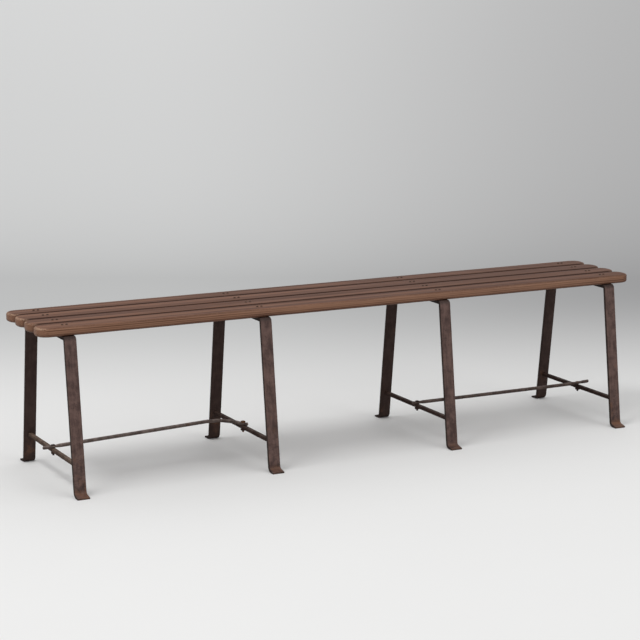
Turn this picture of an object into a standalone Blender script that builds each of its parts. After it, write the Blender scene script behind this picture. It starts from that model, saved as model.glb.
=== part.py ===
"""A long backless bench: wooden slats riveted across trestles that are each bent from one flat iron bar.

Metres, +Z up. The origin lies on the floor under the middle of the seat, and +X runs along the slats.
"""

import math

import bmesh
import bpy
from mathutils import Matrix, Vector

BENCH = "courtroom_bench"

# Slats, named from the front of the seat to the rear.
SLAT_NAMES = ("front", "front_middle", "rear_middle", "rear")
SEAT_HEIGHT = 0.450
SLAT_WIDTH = 0.069
SLAT_THICKNESS = 0.025
SLAT_GAP = 0.0065
SLAT_OVERHANG = 0.082
SLAT_CORNER_RADIUS = 0.030
SLAT_EASING = 0.006

# Trestles, named from left to right: one flat bar with a top, two splayed legs and turned-out feet, whose
# toes are drawn out thinner.
TRESTLE_NAMES = ("left_end", "left_middle", "right_middle", "right_end")
TRESTLE_SPACING = 0.570
BAR_WIDTH = 0.034
BAR_THICKNESS = 0.010
BAR_EASING = 0.001
LEG_SPLAY = math.radians(7.3)
LEG_PROUD = 0.008
TOP_BEND_RADIUS = 0.005
FOOT_BEND_RADIUS = 0.006
TOE_LENGTH = 0.022
TOE_TIP_THICKNESS = 0.0045

# Stretchers: a square bar between the two legs, with round tenons peened over outside them.
STRETCHER_SIZE = 0.011
STRETCHER_HEIGHT = 0.082
TENON_DIAMETER = 0.008
PEENED_HEAD_DIAMETER = 0.014
PEENED_HEAD_HEIGHT = 0.002

# Tie rods: round rods with flattened ends that are bolted on top of two stretchers. The left one runs
# aside to the rear, and its last stretch bends back to lie almost along the second stretcher.
ROD_DIAMETER = 0.009
TONGUE_WIDTH = 0.013
TONGUE_THICKNESS = 0.007
TONGUE_NECK = 0.022
LEFT_TIP = 0.025
RIGHT_TIP = 0.033
POINTED_TIP_WIDTH = 0.007
SHORT_TIP = 0.010
SHORT_TIP_WIDTH = 0.010
ROD_TAPER = 0.45
BEND_BEFORE = 0.038
BEND_ASIDE = 0.0755
BEND_RADIUS = 0.020

# Square-headed bolts and square nuts that hold the tie rods. One bolt has a taller head.
TALL_BOLT = "left_middle"
TALL_HEAD_HEIGHT = 0.0045
BOLT_DIAMETER = 0.006
BOLT_HEAD_SIZE = 0.011
BOLT_HEAD_HEIGHT = 0.002
BOLT_TAIL = 0.0045
NUT_SIZE = 0.012
NUT_HEIGHT = 0.005

# Rivets: a low domed head on the slat, and a peened tail under the iron bar.
RIVET_SIDE_NAMES = ("left", "right")
RIVET_HEAD_DIAMETER = 0.0066
RIVET_HEAD_HEIGHT = 0.002
RIVET_SHANK_DIAMETER = 0.004
RIVET_TAIL_DIAMETER = 0.007
RIVET_TAIL_HEIGHT = 0.0022
RIVET_BRIDGE = 0.0053

# Gap between pieces that touch or fit, and how far a cutter runs past what it cuts.
CLEARANCE = 0.0003
CUTTER_MARGIN = 0.004

# How finely round stretches are divided.
BEND_STEPS = 6
CORNER_STEPS = 8
EASING_SEGMENTS = 3
RIVET_SIDES = 10
TENON_SIDES = 12
DOME_STEPS = 3
SMOOTH_ANGLE = math.radians(35)
EASED_ANGLE = math.radians(50)
FLAT_ANGLE = math.radians(1)
WELD_DISTANCE = 1e-6

# Sizes that follow from those above.
SEAT_UNDERSIDE = SEAT_HEIGHT - SLAT_THICKNESS
SEAT_DEPTH = len(SLAT_NAMES) * SLAT_WIDTH + (len(SLAT_NAMES) - 1) * SLAT_GAP
SLAT_LENGTH = (len(TRESTLE_NAMES) - 1) * TRESTLE_SPACING + 2 * SLAT_OVERHANG
BAR_TOP = SEAT_UNDERSIDE - CLEARANCE
BAR_UNDERSIDE = BAR_TOP - BAR_THICKNESS
RIVET_SPACING = RIVET_HEAD_DIAMETER + 2 * CLEARANCE + RIVET_BRIDGE
STRETCHER_TOP = STRETCHER_HEIGHT + STRETCHER_SIZE / 2
STRETCHER_UNDERSIDE = STRETCHER_HEIGHT - STRETCHER_SIZE / 2
TONGUE_HEIGHT = STRETCHER_TOP + CLEARANCE + TONGUE_THICKNESS / 2
BOLT_HEAD_UNDERSIDE = TONGUE_HEIGHT + TONGUE_THICKNESS / 2 + CLEARANCE
NUT_TOP = STRETCHER_UNDERSIDE - CLEARANCE


def clear_scene():
    """Removes every object, so that the bench stands alone."""
    for obj in list(bpy.data.objects):
        bpy.data.objects.remove(obj)


def new_collection(name, parent):
    """Makes a collection inside another."""
    collection = bpy.data.collections.new(name)
    parent.children.link(collection)
    return collection


def new_material(name, colour, roughness, metallic):
    """Makes a plain Principled material."""
    material = bpy.data.materials.new(name)
    material.use_nodes = True
    shader = material.node_tree.nodes["Principled BSDF"]
    shader.inputs["Base Color"].default_value = (*colour, 1.0)
    shader.inputs["Roughness"].default_value = roughness
    shader.inputs["Metallic"].default_value = metallic
    material.diffuse_color = (*colour, 1.0)
    return material


def place(name, mesh, collection, position=(0, 0, 0)):
    """Puts a mesh in a collection as an object that belongs to the bench."""
    obj = bpy.data.objects.new(name, mesh)
    obj.location = position
    obj.parent = bench_origin
    collection.objects.link(obj)
    return obj


def add_part(name, mesh, material, position=(0, 0, 0)):
    """Adds a visible piece of the bench."""
    if not mesh.materials:
        mesh.materials.append(material)
    return place(name, mesh, parts, position)


def add_helper(name, mesh, position=(0, 0, 0), collection=None):
    """Adds a shape that only cuts or joins other pieces."""
    helper = place(name, mesh, collection or cutters, position)
    helper.hide_render = True
    helper.display_type = "WIRE"
    return helper


def add_boolean(obj, operation, helper):
    """Cuts or joins a piece with one helper, or with every helper of a collection."""
    modifier = obj.modifiers.new(operation.title(), "BOOLEAN")
    modifier.operation = operation
    modifier.solver = "EXACT"
    if isinstance(helper, bpy.types.Collection):
        modifier.operand_type = "COLLECTION"
        modifier.collection = helper
    else:
        modifier.object = helper


def ease_edges(obj, width, segments):
    """Rounds the sharp edges of a piece."""
    bevel = obj.modifiers.new("Easing", "BEVEL")
    bevel.width = width
    bevel.segments = segments
    bevel.limit_method = "ANGLE"
    bevel.angle_limit = EASED_ANGLE


def shade_round(mesh):
    """Shades round stretches smooth and keeps true edges sharp."""
    mesh.shade_smooth()
    mesh.set_sharp_from_angle(angle=SMOOTH_ANGLE)


def mesh_of(obj):
    """Turns an object into a closed mesh in its own frame, and removes the object."""
    bpy.context.scene.collection.objects.link(obj)
    graph = bpy.context.evaluated_depsgraph_get()
    mesh = bpy.data.meshes.new_from_object(obj.evaluated_get(graph))
    mesh.name = obj.name
    bpy.data.objects.remove(obj)
    shape = bmesh.new()
    shape.from_mesh(mesh)
    bmesh.ops.remove_doubles(shape, verts=shape.verts, dist=WELD_DISTANCE)
    bmesh.ops.dissolve_limit(shape, angle_limit=FLAT_ANGLE, verts=shape.verts, edges=shape.edges)
    bmesh.ops.recalc_face_normals(shape, faces=shape.faces)
    shape.to_mesh(mesh)
    shape.free()
    return mesh


def flat_mesh(name, outline, thickness, turn=None):
    """Extrudes a flat outline to both sides of its plane, and turns the plane if asked."""
    curve = bpy.data.curves.new(name, "CURVE")
    curve.dimensions = "2D"
    curve.fill_mode = "BOTH"
    curve.extrude = thickness / 2
    spline = curve.splines.new("POLY")
    spline.points.add(len(outline) - 1)
    spline.use_cyclic_u = True
    for point, (u, v) in zip(spline.points, outline):
        point.co = (u, v, 0, 1)
    mesh = mesh_of(bpy.data.objects.new(name, curve))
    if turn:
        mesh.transform(turn)
    return mesh


def turned_mesh(name, profile, sides):
    """Turns a half profile of (radius, height) points, listed from top to bottom, about Z."""
    shape = bmesh.new()
    points = [shape.verts.new((radius, 0, height)) for radius, height in profile]
    for upper, lower in zip(points, points[1:]):
        shape.edges.new((upper, lower))
    mesh = bpy.data.meshes.new(name)
    shape.to_mesh(mesh)
    shape.free()
    obj = bpy.data.objects.new(name, mesh)
    screw = obj.modifiers.new("Turning", "SCREW")
    screw.axis = "Z"
    screw.steps = sides
    screw.render_steps = sides
    screw.use_merge_vertices = True
    screw.merge_threshold = WELD_DISTANCE
    solid = mesh_of(obj)
    shade_round(solid)
    return solid


def cylinder_mesh(name, diameter, low, high, sides):
    """A capped cylinder along Z between two heights."""
    shape = bmesh.new()
    bmesh.ops.create_cone(
        shape,
        cap_ends=True,
        segments=sides,
        radius1=diameter / 2,
        radius2=diameter / 2,
        depth=high - low,
        matrix=Matrix.Translation((0, 0, (low + high) / 2)),
    )
    mesh = bpy.data.meshes.new(name)
    shape.to_mesh(mesh)
    shape.free()
    shade_round(mesh)
    return mesh


def block_mesh(name, size_x, size_y, low, high):
    """A box centred on Z between two heights."""
    shape = bmesh.new()
    bmesh.ops.create_cube(shape, size=1)
    bmesh.ops.scale(shape, vec=(size_x, size_y, high - low), verts=shape.verts)
    bmesh.ops.translate(shape, vec=(0, 0, (low + high) / 2), verts=shape.verts)
    mesh = bpy.data.meshes.new(name)
    shape.to_mesh(mesh)
    shape.free()
    return mesh


def rounded_path(corners, radii):
    """Points and left-hand normals along a flat path whose inner corners are arcs of the given radii."""
    points = [Vector(corner) for corner in corners]
    headings = [math.atan2(*reversed(after - before)) for before, after in zip(points, points[1:])]
    normals = [Vector((-math.sin(heading), math.cos(heading))) for heading in headings]
    path = [(points[0], normals[0])]
    for corner, radius, start, end in zip(points[1:], radii, headings, headings[1:]):
        turn = math.remainder(end - start, math.tau)
        reach = radius * math.tan(abs(turn) / 2)
        side = math.copysign(radius, turn)
        first = corner - reach * Vector((math.cos(start), math.sin(start)))
        centre = first + side * Vector((-math.sin(start), math.cos(start)))
        for step in range(BEND_STEPS + 1):
            heading = start + turn * step / BEND_STEPS
            normal = Vector((-math.sin(heading), math.cos(heading)))
            path.append((centre - side * normal, normal))
    path.append((points[-1], normals[-1]))
    return path


def strip_outline(corners, radii, thickness, tip_thickness):
    """Outline of a strip that is bent along a path, with both tips drawn out thinner from the left."""
    path = rounded_path(corners, radii)
    left = [point + normal * thickness / 2 for point, normal in path]
    right = [point - normal * thickness / 2 for point, normal in path]
    for end in (0, -1):
        left[end] = right[end] + path[end][1] * tip_thickness
    return left + right[::-1]


def rounded_rectangle(length, width, radius):
    """Outline of a rectangle about the origin with round corners."""
    quarter = math.pi / 2
    outline = []
    for corner, (side_u, side_v) in enumerate(((1, 1), (-1, 1), (-1, -1), (1, -1))):
        centre_u = side_u * (length / 2 - radius)
        centre_v = side_v * (width / 2 - radius)
        for step in range(CORNER_STEPS + 1):
            angle = (corner + step / CORNER_STEPS) * quarter
            outline.append((centre_u + radius * math.cos(angle), centre_v + radius * math.sin(angle)))
    return outline


def slat_y(index):
    """Middle of a slat, counted from the front."""
    return (index - (len(SLAT_NAMES) - 1) / 2) * (SLAT_WIDTH + SLAT_GAP)


def trestle_x(index):
    """Middle of a trestle, counted from the left."""
    return (index - (len(TRESTLE_NAMES) - 1) / 2) * TRESTLE_SPACING


def rivet_x(trestle, side):
    """Middle of one rivet of the pair that holds a slat to a trestle."""
    return trestle_x(trestle) + (side - (len(RIVET_SIDE_NAMES) - 1) / 2) * RIVET_SPACING


def leg_outer_y(height):
    """How far a leg's outer face stands from the middle of the bench at a height."""
    return SEAT_DEPTH / 2 + LEG_PROUD + (SEAT_UNDERSIDE - height) * math.tan(LEG_SPLAY)


def leg_inner_y(height):
    """How far a leg's inner face stands from the middle of the bench at a height."""
    return leg_outer_y(height) - BAR_THICKNESS / math.cos(LEG_SPLAY)


def dome(diameter, height):
    """Half profile of a low dome on a base at height 0, from its crown to its rim."""
    angles = [step / DOME_STEPS * math.pi / 2 for step in range(DOME_STEPS + 1)]
    return [(diameter / 2 * math.sin(angle), height * math.cos(angle)) for angle in angles]


def rivet_profile():
    """Half profile of a rivet, from its domed head to its peened tail."""
    shank = RIVET_SHANK_DIAMETER / 2
    head_seat = SEAT_HEIGHT + CLEARANCE
    tail_seat = BAR_UNDERSIDE - CLEARANCE
    head = [(radius, head_seat + up) for radius, up in dome(RIVET_HEAD_DIAMETER, RIVET_HEAD_HEIGHT)]
    tail = [(radius, tail_seat - down) for radius, down in dome(RIVET_TAIL_DIAMETER, RIVET_TAIL_HEIGHT)]
    return [*head, (shank, head_seat), (shank, tail_seat), *reversed(tail)]


def add_rivets():
    """Adds the rivets, and returns the hole cutters of each slat and of each trestle."""
    rivet = turned_mesh("rivet", rivet_profile(), RIVET_SIDES)
    low = BAR_UNDERSIDE - CUTTER_MARGIN
    high = SEAT_HEIGHT + CUTTER_MARGIN
    hole = cylinder_mesh("rivet_hole", RIVET_SHANK_DIAMETER + 2 * CLEARANCE, low, high, RIVET_SIDES)
    slat_holes = {name: new_collection(f"{name}_slat_holes", cutters) for name in SLAT_NAMES}
    trestle_holes = {name: new_collection(f"{name}_trestle_holes", cutters) for name in TRESTLE_NAMES}
    for row, slat in enumerate(SLAT_NAMES):
        for column, trestle in enumerate(TRESTLE_NAMES):
            for side, side_name in enumerate(RIVET_SIDE_NAMES):
                position = (rivet_x(column, side), slat_y(row), 0)
                name = f"{trestle}_{slat}_{side_name}_rivet"
                add_part(name, rivet, rivet_iron, position)
                cutter = add_helper(f"{name}_hole", hole, position, slat_holes[slat])
                trestle_holes[trestle].objects.link(cutter)
    return slat_holes, trestle_holes


def add_slats(slat_holes):
    """Adds the seat boards, with rounded ends, eased edges and rivet holes."""
    outline = rounded_rectangle(SLAT_LENGTH, SLAT_WIDTH, SLAT_CORNER_RADIUS)
    board = flat_mesh("slat", outline, SLAT_THICKNESS)
    middle_height = SEAT_UNDERSIDE + SLAT_THICKNESS / 2
    for index, name in enumerate(SLAT_NAMES):
        slat = add_part(f"{name}_slat", board, slat_wood, (0, slat_y(index), middle_height))
        ease_edges(slat, SLAT_EASING, EASING_SEGMENTS)
        add_boolean(slat, "DIFFERENCE", slat_holes[name])


def trestle_corners():
    """Corners of the bent bar's middle line from the front toe to the rear toe, as (y, z)."""
    half = BAR_THICKNESS / 2
    inset = half / math.cos(LEG_SPLAY)
    top = BAR_TOP - half
    shoulder = (leg_outer_y(top) - inset, top)
    heel = (leg_outer_y(half) - inset, half)
    toe = (leg_outer_y(0) + TOE_LENGTH, half)
    front = [(-y, z) for y, z in (toe, heel, shoulder)]
    return front + [shoulder, heel, toe]


def add_trestles(trestle_holes):
    """Adds the bent bars, with holes for the rivets and for the stretcher's tenons."""
    foot_bend = FOOT_BEND_RADIUS + BAR_THICKNESS / 2
    top_bend = TOP_BEND_RADIUS + BAR_THICKNESS / 2
    bends = (foot_bend, top_bend, top_bend, foot_bend)
    outline = strip_outline(trestle_corners(), bends, BAR_THICKNESS, TOE_TIP_THICKNESS)
    outline_to_world = Matrix(((0, 0, 1, 0), (1, 0, 0, 0), (0, 1, 0, 0), (0, 0, 0, 1)))
    bar = flat_mesh("trestle", outline, BAR_WIDTH, outline_to_world)
    shade_round(bar)
    reach = leg_outer_y(0) + TOE_LENGTH
    tenon_hole = cylinder_mesh("tenon_hole", TENON_DIAMETER + 2 * CLEARANCE, -reach, reach, TENON_SIDES)
    tenon_hole.transform(Matrix.Rotation(math.pi / 2, 4, "X"))
    for index, name in enumerate(TRESTLE_NAMES):
        x = trestle_x(index)
        trestle = add_part(f"{name}_trestle", bar, trestle_iron, (x, 0, 0))
        ease_edges(trestle, BAR_EASING, 1)
        add_boolean(trestle, "DIFFERENCE", trestle_holes[name])
        hole = add_helper(f"{name}_tenon_hole", tenon_hole, (x, 0, STRETCHER_HEIGHT))
        add_boolean(trestle, "DIFFERENCE", hole)


def stretcher_bar_mesh():
    """A square bar whose ends are cut to lie along the sloping legs."""
    half = STRETCHER_SIZE / 2
    mesh = block_mesh("stretcher", STRETCHER_SIZE, 2 * leg_inner_y(STRETCHER_HEIGHT), -half, half)
    for vertex in mesh.vertices:
        shoulder = leg_inner_y(STRETCHER_HEIGHT + vertex.co.z) - CLEARANCE / math.cos(LEG_SPLAY)
        vertex.co.y = math.copysign(shoulder, vertex.co.y)
    return mesh


def peened_head_mesh(side):
    """A low dome that lies on a leg's outer face, on the side of the bench that is given."""
    profile = [*dome(PEENED_HEAD_DIAMETER, PEENED_HEAD_HEIGHT), (0, 0)]
    mesh = turned_mesh("peened_head", profile, TENON_SIDES)
    outward = Vector((0, side * math.cos(LEG_SPLAY), math.sin(LEG_SPLAY)))
    seat = Vector((0, side * leg_outer_y(STRETCHER_HEIGHT), 0)) + CLEARANCE * outward
    mesh.transform(Matrix.Translation(seat) @ outward.to_track_quat("Z", "X").to_matrix().to_4x4())
    return mesh


def add_stretchers(bolt_holes):
    """Adds the square bars with their tenons and peened heads, bored for the tie bolts."""
    bar = stretcher_bar_mesh()
    heads = {"front": peened_head_mesh(-1), "rear": peened_head_mesh(1)}
    reach = leg_outer_y(STRETCHER_HEIGHT) + PEENED_HEAD_HEIGHT / 2
    tenon = cylinder_mesh("tenon", TENON_DIAMETER, -reach, reach, TENON_SIDES)
    tenon.transform(Matrix.Rotation(math.pi / 2, 4, "X"))
    for index, name in enumerate(TRESTLE_NAMES):
        position = (trestle_x(index), 0, STRETCHER_HEIGHT)
        stretcher = add_part(f"{name}_stretcher", bar, stretcher_iron, position)
        add_boolean(stretcher, "UNION", add_helper(f"{name}_tenon", tenon, position))
        for end, head in heads.items():
            add_boolean(stretcher, "UNION", add_helper(f"{name}_{end}_head", head, position))
        add_boolean(stretcher, "DIFFERENCE", bolt_holes[name])


def tongue_outline(tip_length, tip_width):
    """Outline of a rod's flattened end about its bolt, with the tip towards +u."""
    half = TONGUE_WIDTH / 2
    upper = [
        (-TONGUE_NECK, ROD_DIAMETER * ROD_TAPER / 2),
        (-half, half),
        (half, half),
        (half + tip_length, tip_width / 2),
    ]
    lower = [(u, -v) for u, v in reversed(upper)]
    return lower + upper


def towards(start, goal, distance):
    """Point at a distance from one point on the way to another."""
    return start + distance * (goal - start).normalized()


def rod_mesh(name, corners, radii):
    """A level round rod that leads from bolt to bolt over (x, y) corners, drawn out thinner near both."""
    path = [point for point, _ in rounded_path(corners, radii)]
    first_bolt, *between, last_bolt = path
    second, second_last = path[1], path[-2]
    stations = [
        (towards(first_bolt, second, TONGUE_WIDTH), ROD_TAPER),
        (towards(first_bolt, second, TONGUE_NECK), 1),
        *((point, 1) for point in between),
        (towards(last_bolt, second_last, TONGUE_NECK), 1),
        (towards(last_bolt, second_last, TONGUE_WIDTH), ROD_TAPER),
    ]
    curve = bpy.data.curves.new(name, "CURVE")
    curve.dimensions = "3D"
    curve.bevel_depth = ROD_DIAMETER / 2
    curve.bevel_resolution = 2
    curve.use_fill_caps = True
    spline = curve.splines.new("POLY")
    spline.points.add(len(stations) - 1)
    for point, (place_on_path, thickness) in zip(spline.points, stations):
        point.co = (*place_on_path, TONGUE_HEIGHT, 1)
        point.radius = thickness
    mesh = mesh_of(bpy.data.objects.new(name, curve))
    shade_round(mesh)
    return mesh


def add_tie_rod(name, first, last, tips, bend, bolt_holes):
    """Adds a rod between the stretchers of two trestles, bent on its way if an offset is given."""
    first_bolt, last_bolt = (Vector((trestle_x(TRESTLE_NAMES.index(end)), 0)) for end in (first, last))
    corners = [first_bolt, last_bolt]
    if bend:
        corners.insert(1, last_bolt + Vector(bend))
    rod = add_part(name, rod_mesh(name, corners, [BEND_RADIUS] * len(corners[1:-1])), rod_iron)
    ends = ((first, first_bolt, corners[1]), (last, last_bolt, corners[-2]))
    for (trestle, bolt, before), (tip_length, tip_width) in zip(ends, tips):
        heading = math.atan2(*reversed(bolt - before))
        outline = tongue_outline(tip_length, tip_width)
        tongue = flat_mesh("tongue", outline, TONGUE_THICKNESS, Matrix.Rotation(heading, 4, "Z"))
        helper = add_helper(f"{name}_{trestle}_tongue", tongue, (*bolt, TONGUE_HEIGHT))
        add_boolean(rod, "UNION", helper)
        add_boolean(rod, "DIFFERENCE", bolt_holes[trestle])


def add_bolt_holes():
    """Adds one upright cutter for each tie bolt, for the stretcher and the rod's tongue."""
    low = STRETCHER_UNDERSIDE - CUTTER_MARGIN
    high = BOLT_HEAD_UNDERSIDE + CUTTER_MARGIN
    hole = cylinder_mesh("bolt_hole", BOLT_DIAMETER + 2 * CLEARANCE, low, high, TENON_SIDES)
    return {
        name: add_helper(f"{name}_bolt_hole", hole, (trestle_x(index), 0, 0))
        for index, name in enumerate(TRESTLE_NAMES)
    }


def add_bolts_and_nuts():
    """Adds the square-headed bolts that clamp the tie rods, and the nuts under the stretchers."""
    nut_underside = NUT_TOP - NUT_HEIGHT
    low_top = BOLT_HEAD_UNDERSIDE + BOLT_HEAD_HEIGHT
    tall_top = BOLT_HEAD_UNDERSIDE + TALL_HEAD_HEIGHT
    low_head = block_mesh("tie_bolt", BOLT_HEAD_SIZE, BOLT_HEAD_SIZE, BOLT_HEAD_UNDERSIDE, low_top)
    tall_head = block_mesh("tall_tie_bolt", BOLT_HEAD_SIZE, BOLT_HEAD_SIZE, BOLT_HEAD_UNDERSIDE, tall_top)
    shank_top = BOLT_HEAD_UNDERSIDE + BOLT_HEAD_HEIGHT / 2
    shank = cylinder_mesh("shank", BOLT_DIAMETER, nut_underside - BOLT_TAIL, shank_top, TENON_SIDES)
    nut_block = block_mesh("tie_nut", NUT_SIZE, NUT_SIZE, nut_underside, NUT_TOP)
    thread_low = nut_underside - CUTTER_MARGIN
    thread_high = NUT_TOP + CUTTER_MARGIN
    thread = cylinder_mesh("thread", BOLT_DIAMETER + 2 * CLEARANCE, thread_low, thread_high, TENON_SIDES)
    for index, name in enumerate(TRESTLE_NAMES):
        position = (trestle_x(index), 0, 0)
        head = tall_head if name == TALL_BOLT else low_head
        bolt = add_part(f"{name}_tie_bolt", head, bolt_iron, position)
        add_boolean(bolt, "UNION", add_helper(f"{name}_shank", shank, position))
        nut = add_part(f"{name}_tie_nut", nut_block, bolt_iron, position)
        add_boolean(nut, "DIFFERENCE", add_helper(f"{name}_thread", thread, position))


clear_scene()
parts = new_collection(BENCH, bpy.context.scene.collection)
cutters = new_collection("cutters", bpy.context.scene.collection)
bench_origin = bpy.data.objects.new("bench_origin", None)
parts.objects.link(bench_origin)

slat_wood = new_material("slat_wood", (0.17, 0.095, 0.062), 0.55, 0.0)
trestle_iron = new_material("trestle_iron", (0.075, 0.055, 0.048), 0.62, 0.6)
stretcher_iron = new_material("stretcher_iron", (0.06, 0.045, 0.038), 0.6, 0.6)
rod_iron = new_material("rod_iron", (0.065, 0.052, 0.045), 0.58, 0.6)
bolt_iron = new_material("bolt_iron", (0.11, 0.055, 0.03), 0.75, 0.4)
rivet_iron = new_material("rivet_iron", (0.04, 0.026, 0.02), 0.65, 0.5)

slat_hole_cutters, trestle_hole_cutters = add_rivets()
add_slats(slat_hole_cutters)
add_trestles(trestle_hole_cutters)
bolt_hole_cutters = add_bolt_holes()
add_stretchers(bolt_hole_cutters)
left_tips = ((LEFT_TIP, POINTED_TIP_WIDTH), (SHORT_TIP, SHORT_TIP_WIDTH))
right_tips = ((SHORT_TIP, SHORT_TIP_WIDTH), (RIGHT_TIP, POINTED_TIP_WIDTH))
left_bend = (-BEND_BEFORE, BEND_ASIDE)
add_tie_rod("left_tie_rod", *TRESTLE_NAMES[:2], left_tips, left_bend, bolt_hole_cutters)
add_tie_rod("right_tie_rod", *TRESTLE_NAMES[2:], right_tips, None, bolt_hole_cutters)
add_bolts_and_nuts()
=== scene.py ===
import math
import random

import bmesh
import bpy
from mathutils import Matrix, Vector, noise


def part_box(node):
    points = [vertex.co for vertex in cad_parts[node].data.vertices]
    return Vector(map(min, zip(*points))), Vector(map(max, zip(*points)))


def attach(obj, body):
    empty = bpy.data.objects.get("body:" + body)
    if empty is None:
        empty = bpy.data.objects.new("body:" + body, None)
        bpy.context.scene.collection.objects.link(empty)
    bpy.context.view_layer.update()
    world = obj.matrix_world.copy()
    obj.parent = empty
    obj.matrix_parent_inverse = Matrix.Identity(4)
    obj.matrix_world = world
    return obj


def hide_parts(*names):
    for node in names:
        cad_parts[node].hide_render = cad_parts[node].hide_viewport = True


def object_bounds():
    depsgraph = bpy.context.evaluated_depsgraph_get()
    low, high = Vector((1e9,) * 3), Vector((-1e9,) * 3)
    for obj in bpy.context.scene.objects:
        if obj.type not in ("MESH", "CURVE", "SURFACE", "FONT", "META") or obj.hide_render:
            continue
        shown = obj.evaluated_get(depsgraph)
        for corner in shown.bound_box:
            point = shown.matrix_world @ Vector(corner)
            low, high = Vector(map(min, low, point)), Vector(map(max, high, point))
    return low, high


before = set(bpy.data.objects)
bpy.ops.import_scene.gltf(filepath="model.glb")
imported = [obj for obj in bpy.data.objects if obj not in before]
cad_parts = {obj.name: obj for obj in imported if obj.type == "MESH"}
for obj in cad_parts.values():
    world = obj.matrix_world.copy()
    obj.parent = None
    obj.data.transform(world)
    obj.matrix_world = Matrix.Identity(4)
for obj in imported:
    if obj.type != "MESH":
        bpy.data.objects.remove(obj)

cad_low, cad_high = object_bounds()

# Camera. The bench is seen from a little left of its middle and from standing height, well back and
# through a long lens, so that its lines stay almost parallel.
CAMERA_PLACE = (-2.67875, -5.18685, 1.51241)
CAMERA_HEADING = math.radians(26.9717)
CAMERA_DIP = math.radians(11.1065)
CAMERA_LENS = 116.036
CAMERA_SENSOR = 36.0


def new_object(name, data):
    """An object in the scene that holds a camera, a lamp or a mesh."""
    made = bpy.data.objects.new(name, data)
    bpy.context.scene.collection.objects.link(made)
    return made


camera_data = bpy.data.cameras.new("viewing_camera")
camera_data.sensor_fit = "HORIZONTAL"
camera_data.sensor_width = CAMERA_SENSOR
camera_data.lens = CAMERA_LENS
camera = new_object("viewing_camera", camera_data)
camera.location = CAMERA_PLACE
camera.rotation_euler = (math.pi / 2 - CAMERA_DIP, 0, -CAMERA_HEADING)
bpy.context.scene.camera = camera

# Studio. A wide pale floor with painted light and shade in its colour: it darkens softly behind the bench,
# more to the right, and is lighter far off to the left, as a studio sweep looks under its lights. Above it
# is an even sky of white cloth, with a broad light overhead and a weak one from the front. It is not part of
# the bench.
FLOOR_REACH = 60.0
FLOOR_ROUGHNESS = 0.9
FLOOR_GLOSS = 0.1
FLOOR_PALE = (0.785, 0.785, 0.78)
FLOOR_FOLD_SHADED_LEFT = (0.525, 0.530, 0.530)
FLOOR_FOLD_SHADED_RIGHT = (0.350, 0.350, 0.354)
FLOOR_FAR_LIT_LEFT = (0.880, 0.886, 0.884)
FLOOR_FAR_SHADED_RIGHT = (0.600, 0.600, 0.602)
FLOOR_BLOTCH = (0.76, 0.76, 0.755)
# Depths of the painted shade sweep run along the camera's heading, from the middle of the bench.
SWEEP_SIDES = (-0.10, 0.19)
SWEEP_START = 0.12
SWEEP_FOLD = 2.15
SWEEP_SLANT = 0.45
SWEEP_LOW = 2.8
SWEEP_GAIN = 1.1
SKY_RISE = (0.25, 0.75)
SKY_LOW = 0.395
SKY_HIGH = 0.905
STUDIO_LIGHTS = {
    "overhead_light": {
        "place": (-3.7, -0.8, 6.8),
        "aim": (0, 0, 0.4),
        "width": 3.2,
        "depth": 1.7,
        "watts": 172,
    },
    "front_light": {
        "place": (2.2, -5.0, 3.4),
        "aim": (0.3, 0, 0.3),
        "width": 3.0,
        "depth": 2.0,
        "watts": 42,
    },
}


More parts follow.
